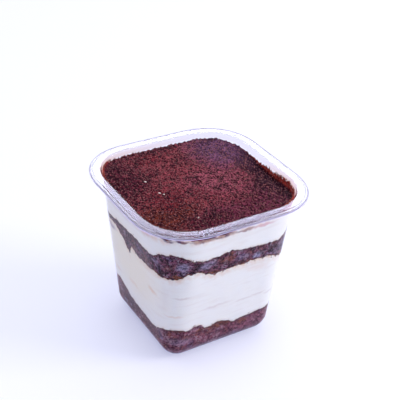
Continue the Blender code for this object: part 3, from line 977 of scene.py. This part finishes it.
# Pale flecks: four bits of sugar or cream that fell on the cocoa. They lie partly sunk in it and
# are stained by the powder round them.
FLECK_PLACES = ((-21.4, 9.5), (-20.2, -1.6), (-19.2, -3.5), (-15.0, -25.9))
FLECK_SIZE = Vector((0.4, 0.75, 0.28)) * MM
surface = mesh_points(cocoa_topping)
flecks = bmesh.new()
for number, (x, y) in enumerate(FLECK_PLACES):
    near = np.argsort(np.hypot(surface[:, 0] - x * MM, surface[:, 1] - y * MM))[:4]
    spot = Vector((x * MM, y * MM, float(surface[near, 2].max())))
    turn = Euler((0.3 * number, 0.4, 0.9 * number + 0.5)).to_matrix().to_4x4()
    made = bmesh.ops.create_icosphere(flecks, subdivisions=2, radius=1.0)
    for vertex in made["verts"]:
        vertex.co *= 1 + 0.25 * noise.noise(vertex.co * 1.7 + Vector((number, 0, 0)))
        vertex.co = Vector([a * b for a, b in zip(vertex.co, FLECK_SIZE)])
    bmesh.ops.transform(flecks, matrix=Matrix.Translation(spot) @ turn, verts=made["verts"])
pale_flecks = mesh_object("pale_flecks", [])
flecks.to_mesh(pale_flecks.data)
flecks.free()
pale_flecks.data.shade_smooth()


def fleck_finish():
    """Cream-white flecks, stained by the cocoa round them."""
    made, tree, shader = new_finish("pale_fleck", Roughness=0.4)
    stain = speckle(tree, millimetres(tree), 2.5)
    color = mixed(tree, ranged(tree, stain, 0.4, 0.7), (0.95, 0.85, 0.83, 1), (0.75, 0.45, 0.42, 1))
    tree.links.new(color, shader.inputs["Base Color"])
    return made


pale_flecks.data.materials.append(fleck_finish())
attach(pale_flecks, "root")

# The studio: a white table that runs out of sight, a broad soft lamp from the right and a pale
# sky all round. The camera looks down on the near corner of the cup.
CAMERA_PLACE = Vector((-187.2, -296.7, 282.7)) * MM
CAMERA_AIM = Vector((8.0, 9.7, 58.3)) * MM
CAMERA_ROLL = radians(3.02)
LENS = 81.7
TABLE_HALF = 4.0


def toward(azimuth, elevation):
    """The way from the cup in this direction, given in degrees."""
    flat = cos(radians(elevation))
    return Vector((flat * cos(radians(azimuth)), flat * sin(radians(azimuth)), sin(radians(elevation))))


def lamp(name, azimuth, elevation, distance, size, power, color, mirrored_only=False):
    """A square soft lamp that faces the middle of the cup, or a bright card only plastic mirrors."""
    light = bpy.data.lights.new(name, "AREA")
    light.shape = "SQUARE"
    light.size = size
    light.energy = power
    light.color = color
    away = toward(azimuth, elevation)
    stand = bpy.data.objects.new(name, light)
    stand.location = Vector((0, 0, CUP_HEIGHT / 2)) + away * distance
    stand.rotation_euler = away.to_track_quat("Z", "Y").to_euler()
    stand.visible_diffuse = not mirrored_only
    bpy.context.collection.objects.link(stand)


lamp("key_lamp", azimuth=-36, elevation=26, distance=1.2, size=0.5, power=8, color=(1, 0.97, 0.92))
lamp("window_card", azimuth=56, elevation=43, distance=1.5, size=0.84, power=36,
     color=(0.74, 0.76, 1), mirrored_only=True)
world = bpy.data.worlds.new("pale_sky")
world.use_nodes = True
sky = world.node_tree
way = add_node(sky, "ShaderNodeTexCoord").outputs["Generated"]


def sky_patch(azimuth, elevation, edge, core):
    """How far the sky's direction lies inside a soft round patch: the cosines of its edge and core."""
    facing = add_node(sky, "ShaderNodeVectorMath", {0: way, 1: toward(azimuth, elevation)},
                      operation="DOT_PRODUCT")
    return add_node(sky, "ShaderNodeMapRange", {0: facing.outputs["Value"], 1: edge, 2: core},
                    interpolation_type="SMOOTHSTEP").outputs[0]


sky_color = mixed(sky, sky_patch(-80, 0, edge=-0.2, core=0.8), (0.64, 0.6, 0.62, 1), (0.40, 0.41, 0.46, 1))
sky_color = mixed(sky, sky_patch(35, 10, edge=0.1, core=0.9), sky_color, (0.98, 0.99, 1.05, 1))
sky_color = mixed(sky, sky_patch(0, 90, edge=0.35, core=0.85), sky_color, (1.06, 1.07, 1.14, 1))
sky.links.new(sky_color, sky.nodes["Background"].inputs["Color"])
bpy.context.scene.world = world

table_corners = [(x * TABLE_HALF, y * TABLE_HALF, 0) for x, y in ((-1, -1), (1, -1), (1, 1), (-1, 1))]
table = mesh_object("table", table_corners, [(0, 1, 2, 3)])
table.data.materials.append(new_finish(
    "white_table", Base_Color=(0.6, 0.6, 0.62, 1), Roughness=0.8, Specular_IOR_Level=0.1,
    Emission_Color=(0.66, 0.7, 1, 1), Emission_Strength=0.48)[0])

camera = bpy.data.objects.new("camera", bpy.data.cameras.new("camera"))
camera.data.lens = LENS
camera.data.clip_start = 0.01
camera.location = CAMERA_PLACE
look = (CAMERA_AIM - CAMERA_PLACE).to_track_quat("-Z", "Y").to_matrix()
camera.rotation_euler = (look @ Matrix.Rotation(CAMERA_ROLL, 3, "Z")).to_euler()
bpy.context.collection.objects.link(camera)
bpy.context.scene.camera = camera
bpy.context.scene.view_settings.view_transform = "Standard"
